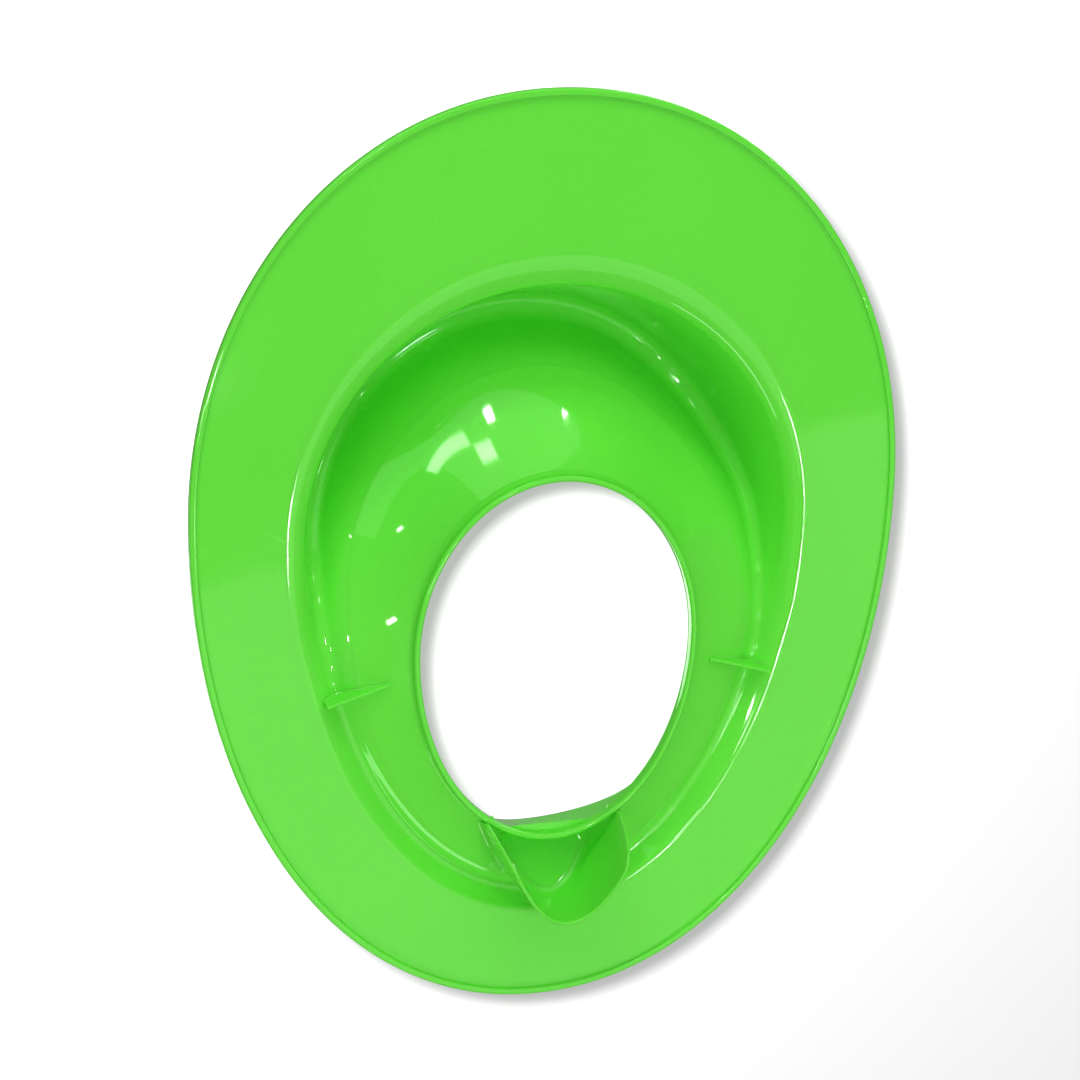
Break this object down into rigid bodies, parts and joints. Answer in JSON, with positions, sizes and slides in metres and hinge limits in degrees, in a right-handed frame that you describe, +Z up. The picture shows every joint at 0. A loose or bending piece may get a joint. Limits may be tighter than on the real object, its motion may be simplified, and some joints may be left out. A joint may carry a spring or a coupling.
{
  "type": "toilet training seat",
  "caption": "Child's toilet training seat: a one-piece plastic shell with a raised seat ring, splash guard and deflector skirt.",
  "frame": {"origin": "centre of the bounding box in plan, at the lowest edge of the deflector skirt", "axes": "+Z up as the seat is used, +Y towards the wide rear, so the splash guard is at the -Y end, +X to the sitter's left"},
  "size_m": [0.3006, 0.385, 0.096],
  "materials": {
    "green_plastic": "glossy as moulded, with fine handling scratches"
  },
  "bodies": {
    "root": {"brim_bead": "green_plastic", "brim": "green_plastic", "seat_ring": "green_plastic", "bowl": "green_plastic", "opening_rim": "green_plastic", "splash_guard": "green_plastic", "deflector_skirt": "green_plastic", "left_rib": "green_plastic", "right_rib": "green_plastic"}
  },
  "joints": []
}
